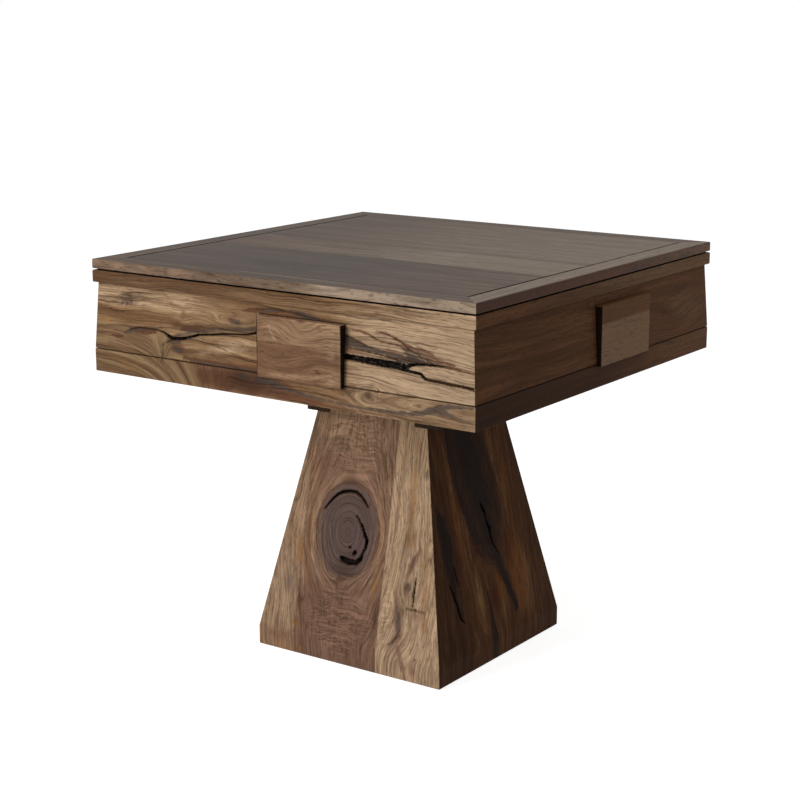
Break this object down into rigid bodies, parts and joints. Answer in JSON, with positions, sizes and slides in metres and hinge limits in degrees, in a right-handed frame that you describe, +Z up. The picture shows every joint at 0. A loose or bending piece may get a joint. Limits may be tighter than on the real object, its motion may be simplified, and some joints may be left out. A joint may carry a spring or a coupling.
{
  "type": "mahjong table with drawers",
  "caption": "Square wooden games table with a lift-off lid, a drawer with a raised block handle in each side, and a tapered square pedestal.",
  "frame": {"origin": "on the floor under the middle of the table", "axes": "+Z up; -Y is the front, the side whose drawer is front_drawer; +X is the right-hand side of someone who faces that drawer"},
  "size_m": [0.846, 0.846, 0.76],
  "materials": {
    "walnut_carcase": "oiled, figured grain",
    "walnut_handle": "oiled, curly grain",
    "walnut_lid": "satin lacquer",
    "walnut_pedestal": "oiled, with one large knot",
    "walnut_bearer": "dark stained",
    "pale_wood": "sanded, waxed",
    "plywood": "sanded",
    "playing_cloth": "napped baize",
    "steel": "zinc plated",
    "nylon": "moulded"
  },
  "bodies": {
    "frame": {"bearer_dowels": "pale_wood", "carcase_bottom_panel": "plywood", "carcase_screws": "steel", "corner_posts": "pale_wood", "drawer_partitions": "pale_wood", "drawer_runners": "pale_wood", "floor_glides": "nylon", "left_bearer": "walnut_bearer", "lower_rail_back": "walnut_carcase", "lower_rail_front": "walnut_carcase", "lower_rail_left": "walnut_carcase", "lower_rail_right": "walnut_carcase", "pedestal_back_panel": "walnut_pedestal", "pedestal_corner_blocks": "pale_wood", "pedestal_floor_board": "plywood", "pedestal_front_panel": "walnut_pedestal", "pedestal_left_panel": "walnut_pedestal", "pedestal_neck_plate": "plywood", "pedestal_right_panel": "walnut_pedestal", "playing_board": "plywood", "playing_cloth": "playing_cloth", "right_bearer": "walnut_bearer", "upper_rail_back": "walnut_carcase", "upper_rail_front": "walnut_carcase", "upper_rail_left": "walnut_carcase", "upper_rail_right": "walnut_carcase"},
    "lid": {"lid_cleat_screws": "steel", "lid_cleats": "pale_wood", "lid_frame_back": "walnut_lid", "lid_frame_front": "walnut_lid", "lid_frame_left": "walnut_lid", "lid_frame_right": "walnut_lid", "lid_plank_front": "walnut_lid", "lid_plank_middle": "walnut_lid", "lid_plank_rear": "walnut_lid"},
    "front_drawer": {"front_drawer_back": "pale_wood", "front_drawer_bottom": "plywood", "front_drawer_front": "walnut_carcase", "front_drawer_handle": "walnut_handle", "front_drawer_handle_screws": "steel", "front_drawer_sides": "pale_wood"},
    "right_drawer": {"right_drawer_back": "pale_wood", "right_drawer_bottom": "plywood", "right_drawer_front": "walnut_carcase", "right_drawer_handle": "walnut_handle", "right_drawer_handle_screws": "steel", "right_drawer_sides": "pale_wood"},
    "back_drawer": {"back_drawer_back": "pale_wood", "back_drawer_bottom": "plywood", "back_drawer_front": "walnut_carcase", "back_drawer_handle": "walnut_handle", "back_drawer_handle_screws": "steel", "back_drawer_sides": "pale_wood"},
    "left_drawer": {"left_drawer_back": "pale_wood", "left_drawer_bottom": "plywood", "left_drawer_front": "walnut_carcase", "left_drawer_handle": "walnut_handle", "left_drawer_handle_screws": "steel", "left_drawer_sides": "pale_wood"}
  },
  "joints": [
    {"name": "front_drawer_slide", "type": "slide", "parent": "frame", "child": "front_drawer", "axis": [0, -1, 0], "range_m": [0, 0.12]},
    {"name": "right_drawer_slide", "type": "slide", "parent": "frame", "child": "right_drawer", "axis": [1, 0, 0], "range_m": [0, 0.12]},
    {"name": "back_drawer_slide", "type": "slide", "parent": "frame", "child": "back_drawer", "axis": [0, 1, 0], "range_m": [0, 0.12]},
    {"name": "left_drawer_slide", "type": "slide", "parent": "frame", "child": "left_drawer", "axis": [-1, 0, 0], "range_m": [0, 0.12]},
    {"name": "lid_lift", "type": "slide", "parent": "frame", "child": "lid", "axis": [0, 0, 1], "range_m": [0, 0.25]}
  ]
}
